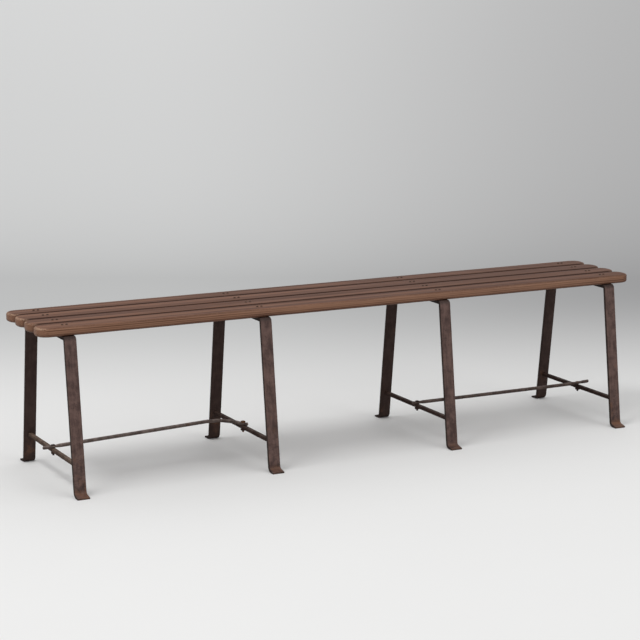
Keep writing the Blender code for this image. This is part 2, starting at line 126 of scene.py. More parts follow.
class Wire:
    """A socket in a node tree. Arithmetic on it adds Math nodes to the same tree."""

    def __init__(self, tree, socket=None):
        self.tree = tree
        self.socket = socket

    def node(self, kind, settings=None, sockets=None, out=0):
        """Adds a node. Its settings are set first, then its sockets get their values or wires."""
        made = self.tree.nodes.new(kind)
        for name, value in (settings or {}).items():
            setattr(made, name, value)
        for key, value in (sockets or {}).items():
            if isinstance(value, Wire):
                self.tree.links.new(value.socket, made.inputs[key])
            else:
                made.inputs[key].default_value = value
        return Wire(self.tree, made.outputs[out])

    def also(self, out):
        """Another output of the node that this socket belongs to."""
        return Wire(self.tree, self.socket.node.outputs[out])

    def maths(self, operation, first, second=0.0):
        """A Math node on one or two values or wires."""
        return self.node("ShaderNodeMath", {"operation": operation}, {0: first, 1: second})

    def __add__(self, other):
        return self.maths("ADD", self, other)

    def __radd__(self, other):
        return self.maths("ADD", other, self)

    def __sub__(self, other):
        return self.maths("SUBTRACT", self, other)

    def __rsub__(self, other):
        return self.maths("SUBTRACT", other, self)

    def __mul__(self, other):
        return self.maths("MULTIPLY", self, other)

    def __rmul__(self, other):
        return self.maths("MULTIPLY", other, self)

    def __truediv__(self, other):
        return self.maths("DIVIDE", self, other)

    def __rtruediv__(self, other):
        return self.maths("DIVIDE", other, self)

    def __pow__(self, other):
        return self.maths("POWER", self, other)

    def __mod__(self, other):
        return self.maths("FLOORED_MODULO", self, other)

    def __abs__(self):
        return self.maths("ABSOLUTE", self)

    def sine(self):
        return self.maths("SINE", self)

    def at_least(self, low):
        return self.maths("MAXIMUM", self, low)

    def rise(self, low, high):
        """0 below low, 1 above high, and a smooth step between them."""
        steps = {"Value": self, "From Min": low, "From Max": high}
        return self.node("ShaderNodeMapRange", {"interpolation_type": "SMOOTHSTEP"}, steps)

    def tint(self, without, with_it):
        """A colour that goes from the first to the second as this value goes from 0 to 1."""
        colours = [c if isinstance(c, Wire) else (*c, 1.0) for c in (without, with_it)]
        sockets = {0: self, 6: colours[0], 7: colours[1]}
        return self.node("ShaderNodeMix", {"data_type": "RGBA"}, sockets, out=2)

    def parts(self):
        """The X, Y and Z of this vector."""
        x = self.node("ShaderNodeSeparateXYZ", {}, {"Vector": self}, out="X")
        return x, x.also("Y"), x.also("Z")

    def stretched(self, scale, shift=(0.0, 0.0, 0.0)):
        """This vector with each axis multiplied, then shifted."""
        sockets = {0: self, 1: scale, 2: shift}
        return self.node("ShaderNodeVectorMath", {"operation": "MULTIPLY_ADD"}, sockets)

    def noise(self, scale, detail=3.0, roughness=0.55, warp=0.0):
        """Cloudy noise from 0 to 1 at this place."""
        sockets = {"Vector": self, "Scale": scale, "Detail": detail, "Roughness": roughness}
        sockets["Distortion"] = warp
        return self.node("ShaderNodeTexNoise", {}, sockets)

    def stored(self, name):
        """A value that was stored on the points of the piece."""
        return self.node("ShaderNodeAttribute", {"attribute_name": name}, out="Fac")


def new_finish(name, gloss):
    """A material with its shader, and a wire that carries Object coordinates."""
    material = bpy.data.materials.new(name)
    material.use_nodes = True
    shader = material.node_tree.nodes["Principled BSDF"]
    shader.inputs["Specular IOR Level"].default_value = gloss
    place = Wire(material.node_tree).node("ShaderNodeTexCoord", out="Object")
    return material, shader, place


def feed(shader, name, wire):
    """Links a wire to a socket of a shader."""
    wire.tree.links.new(wire.socket, shader.inputs[name])


floor_finish, floor_shader, floor_place = new_finish("studio_floor", FLOOR_GLOSS)
floor_shader.inputs["Roughness"].default_value = FLOOR_ROUGHNESS
floor_x, floor_y, _ = floor_place.parts()
floor_right = floor_x * math.cos(CAMERA_HEADING) - floor_y * math.sin(CAMERA_HEADING)
floor_depth = floor_x * math.sin(CAMERA_HEADING) + floor_y * math.cos(CAMERA_HEADING)
floor_away = floor_depth.at_least(0.0) + Vector(CAMERA_PLACE).xy.length
floor_side = (floor_right / floor_away).rise(*SWEEP_SIDES)
# Painted light and shade: the floor's colour darkens towards the fold behind the bench and to the right.
floor_fold_shade = floor_side.tint(FLOOR_FOLD_SHADED_LEFT, FLOOR_FOLD_SHADED_RIGHT)
floor_far_light_and_shade = floor_side.tint(FLOOR_FAR_LIT_LEFT, FLOOR_FAR_SHADED_RIGHT)
floor_distance = SWEEP_GAIN - SWEEP_GAIN * SWEEP_LOW / floor_depth.at_least(SWEEP_LOW)
floor_back_light_and_shade = floor_distance.tint(floor_fold_shade, floor_far_light_and_shade)
floor_front = floor_place.noise(1.3, detail=4.0).tint(FLOOR_BLOTCH, FLOOR_PALE)
floor_painted_sweep = floor_depth.rise(SWEEP_START, SWEEP_FOLD + SWEEP_SLANT * floor_side)
feed(floor_shader, "Base Color", floor_painted_sweep.tint(floor_front, floor_back_light_and_shade))

floor_mesh = bpy.data.meshes.new("studio_floor")
floor_corners = [(-1, -1), (1, -1), (1, 1), (-1, 1)]
floor_mesh.from_pydata([(x * FLOOR_REACH, y * FLOOR_REACH, 0) for x, y in floor_corners], [], [range(4)])
floor_mesh.materials.append(floor_finish)
floor = new_object("studio_floor", floor_mesh)

surround = bpy.data.worlds.new("studio_surround")
surround.use_nodes = True
_, _, sky_rise = Wire(surround.node_tree).node("ShaderNodeTexCoord", out="Generated").parts()
sky = sky_rise.rise(*SKY_RISE).tint([SKY_LOW] * 3, [SKY_HIGH] * 3)
feed(surround.node_tree.nodes["Background"], "Color", sky)
bpy.context.scene.world = surround


def soft_light(name, place, aim, width, depth, watts):
    """A rectangular lamp at a place, facing the point that it is aimed at."""
    lamp = bpy.data.lights.new(name, "AREA")
    lamp.shape = "RECTANGLE"
    lamp.size = width
    lamp.size_y = depth
    lamp.energy = watts
    light = new_object(name, lamp)
    light.location = place
    light.rotation_euler = (Vector(aim) - Vector(place)).to_track_quat("-Z", "Y").to_euler()


for name, setting in STUDIO_LIGHTS.items():
    soft_light(name, **setting)
bpy.context.scene.view_settings.view_transform = "Standard"

# Trestles. Each is one flat wrought-iron bar, bent hot into a top bar, two legs that splay to the front and
# rear, and two feet turned out on the floor. Hammered faces, brown patina outside, black scale and painted
# shade inside, and painted shade on the narrow sides, the rear toes and the top under the seat.
TRESTLES = ("left_end", "left_middle", "right_middle", "right_end")
BAR_WIDTH = 0.034
BAR_THICKNESS = 0.010
BAR_CORNER = 0.0013
LEG_SPLAY = math.radians(7.3)
TOE_LENGTH = 0.022
TOP_BEND_RADIUS = 0.0062
FOOT_BEND_RADIUS = 0.011
TOE_FLARE = 0.0004
TOE_THINNING = 0.0055
BAR_STEP = 0.006
BEND_FINENESS = 4
FEWEST_BEND_STEPS = 4
CORNER_POINTS = 5
FLANK_SHARE = (0.93, 0.99)
BAR_DENTS = 0.00030
MERGE_REACH = 1e-6
SHARP_ANGLE = math.radians(42)
SPENT_MARKS = ("across", "upward", "centre", "up", "aside", "half_width", "half_height", "facing")
IRON_DARK = (0.056, 0.031, 0.027)
IRON_LIGHT = (0.142, 0.085, 0.072)
IRON_RUST = (0.165, 0.078, 0.042)
IRON_EDGE = (0.190, 0.128, 0.100)
# Dark iron for pits and soot, and for painted shade.
IRON_PIT_AND_SHADE = (0.020, 0.012, 0.010)
IRON_SCALE_AND_SHADE = (0.027, 0.0142, 0.0112)
REAR_TOE_SHADE_DEPTHS = (0.0, 0.1)
REAR_TOE_SHADE_HEIGHTS = (0.004, 0.030)
TOE_RUST_HEIGHTS = (0.008, 0.024)
LEG_BLACK_HEIGHTS = (0.02, 0.15)
LEG_RUST_HEIGHT = 0.16
LEG_TOP_SHADE_HEIGHTS = (0.396, 0.414)
SEAT_SHADE_STARTS = (0.411, 0.4225)
SEAT_SHADE_ENDS = (0.430, 0.445)


def forged_iron(name, dark, light, rust, rust_share=0.0, rusty_below=0.05, shine=0.24, flank_shade=0.45):
    """Old hammered iron: mottled patina, rust in patches and near the floor, pits, rubbed edges, scale, and
    painted shade on inner sides, flanks, rear toes and under the seat.
    """
    material, shader, place = new_finish(name, shine)
    _, depth, height = place.parts()
    mottle = place.noise(42.0, detail=6.0, roughness=0.62)
    streaks = place.stretched((130.0, 130.0, 15.0)).noise(1.0, detail=4.0)
    pits = place.noise(310.0, detail=2.0)
    hammer = place.noise(95.0, detail=1.5)
    patches = place.noise(23.0, detail=7.0, roughness=0.7, warp=0.4)
    soot = place.noise(70.0, detail=5.0, roughness=0.7)
    worn = place.stored("worn_edge")
    hidden = place.stored("hidden_side")
    flank = place.stored("flank")
    patina = (0.6 * mottle + 0.4 * streaks).rise(0.34, 0.66)
    near_floor = 1 - height.rise(0.0, rusty_below)
    rusted = (patches + 0.08 * near_floor + rust_share).rise(0.58, 0.76)
    pitted = 1 - pits.rise(0.30, 0.42)
    blackened = soot.rise(0.46, 0.64) * (1 - height.rise(*LEG_BLACK_HEIGHTS))
    rusty_toe = patches.rise(0.32, 0.60) * (1 - height.rise(*TOE_RUST_HEIGHTS))
    # Painted shade on the rear toes, which sit under and behind the bench.
    rear_toe_shade = depth.rise(*REAR_TOE_SHADE_DEPTHS) * (1 - height.rise(*REAR_TOE_SHADE_HEIGHTS))
    # Painted shadow: a dark band on the iron just under the seat.
    under_seat_shade = height.rise(*SEAT_SHADE_STARTS) * (1 - height.rise(*SEAT_SHADE_ENDS))
    rubbed = worn * mottle.rise(0.34, 0.60) * (1 - hidden)
    colour = patina.tint(dark, light)
    colour = (0.55 * blackened).tint(colour, IRON_PIT_AND_SHADE)
    colour = (0.75 * rusted).tint(colour, rust)
    colour = (0.55 * rusty_toe).tint(colour, rust)
    colour = (0.50 * pitted).tint(colour, IRON_PIT_AND_SHADE)
    colour = (0.40 * rubbed).tint(colour, IRON_EDGE)
    colour = (0.65 * rear_toe_shade).tint(colour, IRON_PIT_AND_SHADE)
    # Black scale and painted shade on the inner and under sides of the bars.
    colour = (hidden * (0.78 - 0.30 * rusted)).tint(colour, IRON_SCALE_AND_SHADE)
    # Painted shade on the narrow flanks, darkest at the top under the seat.
    colour = (flank * (flank_shade + 0.15 * height.rise(*LEG_TOP_SHADE_HEIGHTS))).tint(colour, IRON_PIT_AND_SHADE)
    colour = (0.75 * under_seat_shade).tint(colour, IRON_PIT_AND_SHADE)
    feed(shader, "Base Color", colour)
    dull = 0.2 * hidden + 0.3 * flank
    feed(shader, "Roughness", 0.62 - 0.10 * patina + 0.16 * rusted - 0.12 * rubbed + dull)
    feed(shader, "Metallic", 0.30 * rubbed)
    relief = 0.6 * hammer + 0.3 * mottle - 0.25 * pitted + 0.15 * rusted
    bump = {"Strength": 0.55, "Distance": 0.0011, "Height": relief}
    feed(shader, "Normal", place.node("ShaderNodeBump", {}, bump))
    return material


def new_tree(name, asked, made):
    """A new tree with named inputs and one output, a wire to build on, and a wire for each input."""
    tree = bpy.data.node_groups.new(name, "GeometryNodeTree")
    for size, kind in asked.items():
        tree.interface.new_socket(size, in_out="INPUT", socket_type="NodeSocket" + kind)
    tree.interface.new_socket(made, in_out="OUTPUT", socket_type="NodeSocketGeometry")
    start = Wire(tree, tree.nodes.new("NodeGroupInput").outputs[0])
    return tree, start, {size: start.also(size) for size in asked}


def end_tree(shape, finish):
    """Ends a tree with a real mesh that has its finish."""
    shape = shape.node("GeometryNodeRealizeInstances", {}, {"Geometry": shape})
    shape = shape.node("GeometryNodeSetMaterial", {}, {"Geometry": shape, "Material": finish})
    shape.tree.links.new(shape.socket, shape.tree.nodes.new("NodeGroupOutput").inputs[0])


def mark_on_points(start, name, kind="FLOAT"):
    """A value that is stored by name on the points that a tree works on."""
    return start.node("GeometryNodeInputNamedAttribute", {"data_type": kind}, {"Name": name})


def swept_bar_tree():
    """Sweeps a rectangle with rounded corners along a path of stations, then dents its faces."""
    asked = {
        "Path": "Geometry",
        "Section Width": "Float",
        "Section Height": "Float",
        "Corner Radius": "Float",
        "Section Points": "Int",
        "Worn Reach": "Float",
        "Dent Depth": "Float",
        "Dent Spread": "Float",
        "Seed": "Float",
        "Finish": "Material",
    }
    tree, start, given = new_tree("swept_bar", asked, "Bar")

    def stored(name, kind="FLOAT"):
        return mark_on_points(start, name, kind)

    def store(geometry, name, value, kind="FLOAT"):
        settings = {"data_type": kind, "domain": "POINT"}
        sockets = {"Geometry": geometry, "Name": name, "Value": value}
        return start.node("GeometryNodeStoreNamedAttribute", settings, sockets)

    def added(first, second):
        return start.node("ShaderNodeVectorMath", {"operation": "ADD"}, {0: first, 1: second})

    def scaled(direction, length):
        return start.node("ShaderNodeVectorMath", {"operation": "SCALE"}, {0: direction, "Scale": length})

    spot = start.node("GeometryNodeInputPosition")
    sides = {"Width": given["Section Width"], "Height": given["Section Height"]}
    section = start.node("GeometryNodeCurvePrimitiveQuadrilateral", {"mode": "RECTANGLE"}, sides)
    corners = {"Count": CORNER_POINTS, "Radius": given["Corner Radius"], "Limit Radius": True}
    corners["Curve"] = section
    section = start.node("GeometryNodeFilletCurve", {"mode": "POLY"}, corners)
    points = {"Curve": section, "Count": given["Section Points"]}
    section = start.node("GeometryNodeResampleCurve", {"mode": "COUNT"}, points)
    section_x, section_y, _ = spot.parts()
    section = store(section, "across", 2 * section_x / given["Section Width"])
    section = store(section, "upward", 2 * section_y / given["Section Height"])
    path = start.node("GeometryNodeMeshToCurve", {}, {"Mesh": given["Path"]})
    path = store(path, "centre", spot, "FLOAT_VECTOR")
    swept = {"Curve": path, "Profile Curve": section, "Fill Caps": True}
    bar = start.node("GeometryNodeCurveToMesh", {}, swept)
    reach_across = stored("across") * stored("half_width")
    reach_up = stored("upward") * stored("half_height")
    aside = scaled(stored("aside", "FLOAT_VECTOR"), reach_across)
    above = scaled(stored("up", "FLOAT_VECTOR"), reach_up)
    surface = added(stored("centre", "FLOAT_VECTOR"), added(aside, above))
    bar = start.node("GeometryNodeSetPosition", {}, {"Geometry": bar, "Position": surface})
    from_side = stored("half_width") - abs(reach_across)
    from_top = stored("half_height") - abs(reach_up)
    from_corner = (from_side * from_side + from_top * from_top) ** 0.5
    bar = store(bar, "worn_edge", 1 - from_corner.rise(0.0, given["Worn Reach"]))
    # The inner side takes black scale and painted shade; the narrow flanks take painted shade.
    bar = store(bar, "hidden_side", 1 - stored("upward").rise(-1.0, 0.0))
    bar = store(bar, "flank", abs(stored("across")).rise(*FLANK_SHARE))
    hammering = {"Vector": spot, "W": given["Seed"], "Scale": given["Dent Spread"], "Detail": 2.0}
    dents = start.node("ShaderNodeTexNoise", {"noise_dimensions": "4D"}, hammering)
    push = scaled(start.node("GeometryNodeInputNormal"), (dents - 0.5) * 2 * given["Dent Depth"])
    bar = start.node("GeometryNodeSetPosition", {}, {"Geometry": bar, "Offset": push})
    end_tree(bar, given["Finish"])
    return tree


def grown_piece(name, start_mesh, tree, sizes):
    """Runs a tree on a mesh and keeps what it makes as a plain mesh, inside the bench's own box."""
    piece = new_object(name, start_mesh)
    modifier = piece.modifiers.new("grow", "NODES")
    modifier.node_group = tree
    for socket in tree.interface.items_tree:
        if socket.name in sizes:
            modifier[socket.identifier] = sizes[socket.name]
    graph = bpy.context.evaluated_depsgraph_get()
    mesh = bpy.data.meshes.new_from_object(piece.evaluated_get(graph))
    piece.modifiers.remove(modifier)
    piece.data = mesh
    mesh.name = name
    for mark in SPENT_MARKS:
        if mark in mesh.attributes:
            mesh.attributes.remove(mesh.attributes[mark])
    close_mesh(mesh)
    return piece


def close_mesh(mesh):
    """Merges doubles, turns faces outwards, keeps points inside the bench's box and smooths rounds."""
    shape = bmesh.new()
    shape.from_mesh(mesh)
    bmesh.ops.remove_doubles(shape, verts=shape.verts, dist=MERGE_REACH)
    for vertex in shape.verts:
        vertex.co = [min(max(c, low), high) for c, low, high in zip(vertex.co, cad_low, cad_high)]
    bmesh.ops.recalc_face_normals(shape, faces=shape.faces)
    shape.to_mesh(mesh)
    shape.free()
    mesh.shade_smooth()
    mesh.set_sharp_from_angle(angle=SHARP_ANGLE)


def put_directions(mesh, name, directions):
    """Stores one direction on each point of a mesh."""
    flat = [part for direction in directions for part in direction]
    mesh.attributes.new(name, "FLOAT_VECTOR", "POINT").data.foreach_set("vector", flat)


def swept_piece(name, stations, sizes):
    """A piece swept along stations. Each is a centre, an up, an aside, half a width and half a height."""
    path = bpy.data.meshes.new(name)
    centres, ups, asides, half_widths, half_heights = zip(*stations)
    path.from_pydata(centres, [(i, i + 1) for i in range(len(centres) - 1)], [])
    path.attributes.new("half_width", "FLOAT", "POINT").data.foreach_set("value", half_widths)
    path.attributes.new("half_height", "FLOAT", "POINT").data.foreach_set("value", half_heights)
    put_directions(path, "up", ups)
    put_directions(path, "aside", asides)
    return grown_piece(name, path, swept_bar, sizes)


def bent_line(corners, radii, step):
    """Points and left-hand normals, in a plane, along a line whose inner corners are arcs."""
    points = [Vector(corner) for corner in corners]
    runs = [(after - before).normalized() for before, after in zip(points, points[1:])]
    line = []
    leave = points[0]
    for corner, radius, into, out_of in zip(points[1:-1], radii, runs, runs[1:]):
        turn = into.angle_signed(out_of)
        reach = radius * math.tan(abs(turn) / 2)
        line += straight_run(leave, corner - reach * into, step)
        side = math.copysign(1, -turn)
        centre = corner - reach * into + side * radius * Vector((-into.y, into.x))
        steps = max(FEWEST_BEND_STEPS, math.ceil(abs(turn) * radius / step * BEND_FINENESS))
        for index in range(1, steps):
            heading = math.atan2(into.y, into.x) - turn * index / steps
            normal = Vector((-math.sin(heading), math.cos(heading)))
            line.append((centre - side * radius * normal, normal))
        leave = corner + reach * out_of
    return line + straight_run(leave, points[-1], step)


def straight_run(first, last, step):
    """Evenly spaced points with left-hand normals from one end of a straight to the other."""
    along = (last - first).normalized()
    normal = Vector((-along.y, along.x))
    count = max(1, math.ceil((last - first).length / step))
    return [(first.lerp(last, index / count), normal) for index in range(count + 1)]


def trestle_stations(node):
    """Stations along the bent bar, from the front toe to the rear toe."""
    low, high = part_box(node)
    half = BAR_THICKNESS / 2
    half_width = (high.x - low.x) / 2
    middle = (high.x + low.x) / 2
    heel = high.y - TOE_LENGTH - half / math.cos(LEG_SPLAY) - half * math.tan(LEG_SPLAY)
    shoulder = heel - (high.z - 2 * half) * math.tan(LEG_SPLAY)
    rear = [(shoulder, high.z - half), (heel, half), (high.y, half)]
    corners = [(-y, z) for y, z in reversed(rear)] + rear
    bends = (FOOT_BEND_RADIUS, TOP_BEND_RADIUS, TOP_BEND_RADIUS, FOOT_BEND_RADIUS)
    stations = []
    for point, normal in bent_line(corners, bends, BAR_STEP):
        toe = max(0.0, 1 - (high.y - abs(point.x)) / TOE_LENGTH)
        half_height = half - TOE_THINNING * toe / 2
        centre = (middle, point.x, point.y - (half - half_height))
        stations.append((centre, (0, *normal), (1, 0, 0), half_width + TOE_FLARE * toe ** 2, half_height))
    return stations


def fasten(piece, slot, *nodes):
    """Fixes a finished piece to the bench in place of the plain solids that it stands for."""
    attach(piece, "root")
    if nodes:
        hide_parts(*nodes)


swept_bar = swept_bar_tree()
iron_tones = (IRON_DARK, IRON_LIGHT, IRON_RUST)
trestle_iron = forged_iron("trestle_iron", *iron_tones, rusty_below=LEG_RUST_HEIGHT, flank_shade=0.85)
for number, trestle in enumerate(TRESTLES):
    bar_sizes = {
        "Section Width": BAR_WIDTH,
        "Section Height": BAR_THICKNESS,
        "Corner Radius": BAR_CORNER,
        "Section Points": 56,
        "Worn Reach": 0.0032,
        "Dent Depth": BAR_DENTS,
        "Dent Spread": 48.0,
        "Seed": 3.7 * number + 1.0,
        "Finish": trestle_iron,
    }
    bent_bar = swept_piece(f"{trestle}_bent_bar", trestle_stations(f"{trestle}_trestle"), bar_sizes)
    fasten(bent_bar, "trestle_iron", f"{trestle}_trestle")

# Stretchers. Square iron bars between the front and rear leg of each trestle. Their round tenons go through
# the legs and are hammered over outside into low, uneven heads.
STRETCHER_SIZE = 0.011
STRETCHER_CORNER = 0.0014
STRETCHER_HEIGHT = 0.082
STRETCHER_BITE = 0.001
STRETCHER_UNEVEN = 0.04
STRETCHER_SEED = 40
# Painted light: the stretchers' iron goes from light at the left end to dark at the right, as light from the
# left falls off.
STRETCHER_LIT_TO_SHADED_TONES = {
    "left_end": ((0.078, 0.053, 0.040), (0.194, 0.133, 0.098)),
    "left_middle": ((0.042, 0.024, 0.019), (0.100, 0.061, 0.050)),
    "right_middle": ((0.030, 0.016, 0.013), (0.075, 0.044, 0.036)),
    "right_end": ((0.018, 0.009, 0.007), (0.044, 0.024, 0.019)),
}
PEENED_HEAD_RADIUS = 0.007
PEENED_HEAD_HEIGHT = 0.0019
PEENED_HEAD_SINK = 0.0006
PEENED_HEAD_TILTS = (22, 42, 58, 72, 83)
PEENED_HEAD_DENTS = 0.07
PEENED_HEAD_SEED = 7
HEAD_SIDES = 20
ROUND = 2
SQUARE = 9
UPRIGHT = (0, 0, 1)
DULL_SHINE = 0.1


def leg_outer_y(height):
    """Distance of a leg's outer face from the middle of the bench, at a height."""
    toe_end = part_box("left_end_trestle")[1].y
    return toe_end - TOE_LENGTH - height * math.tan(LEG_SPLAY)


def join_rings(shape, rings):
    """Faces between each ring of points and the next one."""
    for ring, following in zip(rings, rings[1:]):
        for index in range(len(ring)):
            after = (index + 1) % len(ring)
            shape.faces.new((ring[index], ring[after], following[after], following[index]))


def kept_mesh(name, shape):
    """A mesh of the shape that was worked on, which is then let go."""
    mesh = bpy.data.meshes.new(name)
    shape.to_mesh(mesh)
    shape.free()
    return mesh


def dome_rings(radius, low, rise, tilts, squareness):
    """Rings of a dome that stands at a height, one for each tilt in degrees."""
    turns = [math.radians(tilt) for tilt in tilts]
    return [(radius * math.cos(turn), low + rise * math.sin(turn), squareness) for turn in turns]


def turned_mesh(name, rings, sides):
    """A closed shape about the Z axis, from rings of radius, height and squareness, between two poles."""
    shape = bmesh.new()
    layers = []
    for radius, height, squareness in rings[1:-1]:
        layer = []
        for index in range(sides):
            angle = math.tau * (index + 0.5) / sides
            x, y = math.cos(angle), math.sin(angle)
            size = radius / (abs(x) ** squareness + abs(y) ** squareness) ** (1 / squareness)
            layer.append(shape.verts.new((size * x, size * y, height)))
        layers.append(layer)
    join_rings(shape, layers)
    for layer, pole in ((layers[0], rings[0]), (layers[-1], rings[-1])):
        tip = shape.verts.new((0, 0, pole[1]))
        for index in range(sides):
            shape.faces.new((layer[index], layer[(index + 1) % sides], tip))
    bmesh.ops.recalc_face_normals(shape, faces=shape.faces)
    return kept_mesh(name, shape)


def set_out_tree():
    """Puts a copy of a shape on each point, facing as the point says, with a random turn and size."""
    asked = {
        "Points": "Geometry",
        "Shape": "Object",
        "Turn Spread": "Float",
        "Size Spread": "Float",
        "Seed": "Int",
        "Finish": "Material",
    }
    tree, start, given = new_tree("set_out_fixings", asked, "Fixings")

    def scatter(spread, seed):
        sockets = {2: 0.0 - spread, 3: spread, "Seed": seed}
        return start.node("FunctionNodeRandomValue", {"data_type": "FLOAT"}, sockets, out=1)

    shape = start.node("GeometryNodeObjectInfo", {}, {"Object": given["Shape"]}, out="Geometry")
    facing = mark_on_points(start, "facing", "FLOAT_VECTOR")
    turned = start.node("FunctionNodeAlignRotationToVector", {"axis": "Z"}, {"Vector": facing})
    size = 1.0 + scatter(given["Size Spread"], given["Seed"])
    copies = {"Points": given["Points"], "Instance": shape, "Rotation": turned, "Scale": size}
    placed = start.node("GeometryNodeInstanceOnPoints", {}, copies)
    twist = start.node("ShaderNodeCombineXYZ", {}, {"Z": scatter(given["Turn Spread"], given["Seed"] + 1)})
    placed = start.node("GeometryNodeRotateInstances", {}, {"Instances": placed, "Rotation": twist})
    end_tree(placed, given["Finish"])
    return tree


def set_out_piece(name, shape_mesh, points, sizes, facings=None):
    """One piece made of a copy of a shape on each of the points, upright unless facings are given."""
    shape = bpy.data.objects.new(f"{name}_shape", shape_mesh)
    cloud = bpy.data.meshes.new(name)
    cloud.from_pydata(points, [], [])
    put_directions(cloud, "facing", facings or [UPRIGHT] * len(points))
    piece = grown_piece(name, cloud, set_out_fixings, {"Shape": shape, **sizes})
    bpy.data.objects.remove(shape)
    return piece


set_out_fixings = set_out_tree()
stretcher_reach = leg_outer_y(STRETCHER_HEIGHT) - BAR_THICKNESS + STRETCHER_BITE
stretcher_line = straight_run(Vector((-stretcher_reach, 0)), Vector((stretcher_reach, 0)), BAR_STEP)
head_points = []
head_facings = []
for number, trestle in enumerate(TRESTLES):
    low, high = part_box(f"{trestle}_stretcher")
    middle = (low.x + high.x) / 2
    uneven = random.Random(STRETCHER_SEED + number)
    stretcher_lit_tones = (*STRETCHER_LIT_TO_SHADED_TONES[trestle], IRON_RUST)
    stretcher_iron = forged_iron(f"stretcher_iron_{trestle}", *stretcher_lit_tones, shine=DULL_SHINE)
    stations = []
    for point, _ in stretcher_line:
        half = STRETCHER_SIZE / 2 * (1 - STRETCHER_UNEVEN * uneven.random())
        stations.append(((middle, point.x, STRETCHER_HEIGHT), UPRIGHT, (1, 0, 0), half, half))
    bar_sizes = {
        "Section Width": STRETCHER_SIZE,
        "Section Height": STRETCHER_SIZE,
        "Corner Radius": STRETCHER_CORNER,
        "Section Points": 32,
        "Worn Reach": 0.0025,
        "Dent Depth": 0.0002,
        "Dent Spread": 60.0,
        "Seed": 5.3 * number + 0.4,
        "Finish": stretcher_iron,
    }
    square_bar = swept_piece(f"{trestle}_square_bar", stations, bar_sizes)
    fasten(square_bar, "stretcher_iron", f"{trestle}_stretcher")
    for side in (-1, 1):
        outward = Vector((0, side * math.cos(LEG_SPLAY), math.sin(LEG_SPLAY)))
        seat = Vector((middle, side * leg_outer_y(STRETCHER_HEIGHT), STRETCHER_HEIGHT))
        head_points.append(seat - PEENED_HEAD_SINK * outward)
        head_facings.append(outward)

head_rings = [
    (0, 0, ROUND),
    (PEENED_HEAD_RADIUS, 0, 2.4),
    (PEENED_HEAD_RADIUS, PEENED_HEAD_SINK, 2.4),
    *dome_rings(PEENED_HEAD_RADIUS, PEENED_HEAD_SINK, PEENED_HEAD_HEIGHT, PEENED_HEAD_TILTS, 2.3),
    (0, PEENED_HEAD_HEIGHT + PEENED_HEAD_SINK, ROUND),
]
head_mesh = turned_mesh("peened_head", head_rings, HEAD_SIDES)
dents = random.Random(PEENED_HEAD_SEED)
for vertex in head_mesh.vertices:
    vertex.co *= 1 + PEENED_HEAD_DENTS * (dents.random() - 0.5)
tenon_iron = forged_iron("tenon_iron", *iron_tones, rust_share=0.05, rusty_below=LEG_RUST_HEIGHT)
head_sizes = {"Turn Spread": 3.1, "Size Spread": 0.10, "Seed": 11, "Finish": tenon_iron}
tenon_heads = set_out_piece("peened_tenon_heads", head_mesh, head_points, head_sizes, head_facings)
fasten(tenon_heads, "stretcher_iron")

# Tie rods. Two round iron rods that brace the trestles in pairs. Each end is hammered flat into a tongue
# that lies on a stretcher under a bolt. The left rod's right end is bent to come in almost along its
# stretcher, and sags a little at the bend.
ROD_RADIUS = 0.0050
TONGUE_HALF_WIDTH = 0.0065
TONGUE_HALF_THICKNESS = 0.0035
TONGUE_NECK = 0.022
TONGUE_HEIGHT = 0.0913
TIP_SWELL = 0.0013
# A tip is rounded off over the last of this many equal parts of its length.
TIP_ROUND_PARTS = 8
TIP_END_WIDTH = 0.6
TIP_END_HEIGHT = 0.7
TIP_LIFT_REACH = 0.08
BEND_SAG = 0.0024
BEND_SAG_REACH = 0.050
# A tip is its length past the tongue, half its width at the end, and how far the end lifts.
LEFT_TIP = (0.025, 0.0035, 0.0)
RIGHT_TIP = (0.033, 0.0035, 0.0032)
SHORT_TIP = (0.010, 0.005, 0.0)
BEND_OFFSET = (-0.038, 0.0755)
BEND_RADIUS = 0.020
ROD_STEP = 0.0024
# Patina tones of the left and right rod; the left one is set lighter as painted light from the left.
ROD_LIT_AND_SHADED_TONES = (
    ((0.108, 0.081, 0.071), (0.279, 0.214, 0.188)),
    ((0.066, 0.046, 0.040), (0.178, 0.128, 0.110)),
)


def rod_section(past_bolt, tip_length, tip_half_width):
    """Half width and half height of a rod at a distance past a bolt: flat near it, round further back."""
    if past_bolt > TONGUE_HALF_WIDTH:
        share = (past_bolt - TONGUE_HALF_WIDTH) / tip_length
        last_part = max(0.0, 1 - TIP_ROUND_PARTS * (1 - share))
        rounding = math.sqrt(max(0.0, 1 - last_part ** 2))
        half_width = TONGUE_HALF_WIDTH + (tip_half_width - TONGUE_HALF_WIDTH) * share
        half_height = TONGUE_HALF_THICKNESS + TIP_SWELL * min(1.0, 2 * share)
        half_width *= TIP_END_WIDTH + (1 - TIP_END_WIDTH) * rounding
        return half_width, half_height * (TIP_END_HEIGHT + (1 - TIP_END_HEIGHT) * rounding)
    if past_bolt > -TONGUE_HALF_WIDTH:
        return TONGUE_HALF_WIDTH, TONGUE_HALF_THICKNESS
    share = min(1.0, (-past_bolt - TONGUE_HALF_WIDTH) / (TONGUE_NECK - TONGUE_HALF_WIDTH))
    share = share * share * (3 - 2 * share)
    half_width = TONGUE_HALF_WIDTH + (ROD_RADIUS - TONGUE_HALF_WIDTH) * share
    return half_width, TONGUE_HALF_THICKNESS + (ROD_RADIUS - TONGUE_HALF_THICKNESS) * share


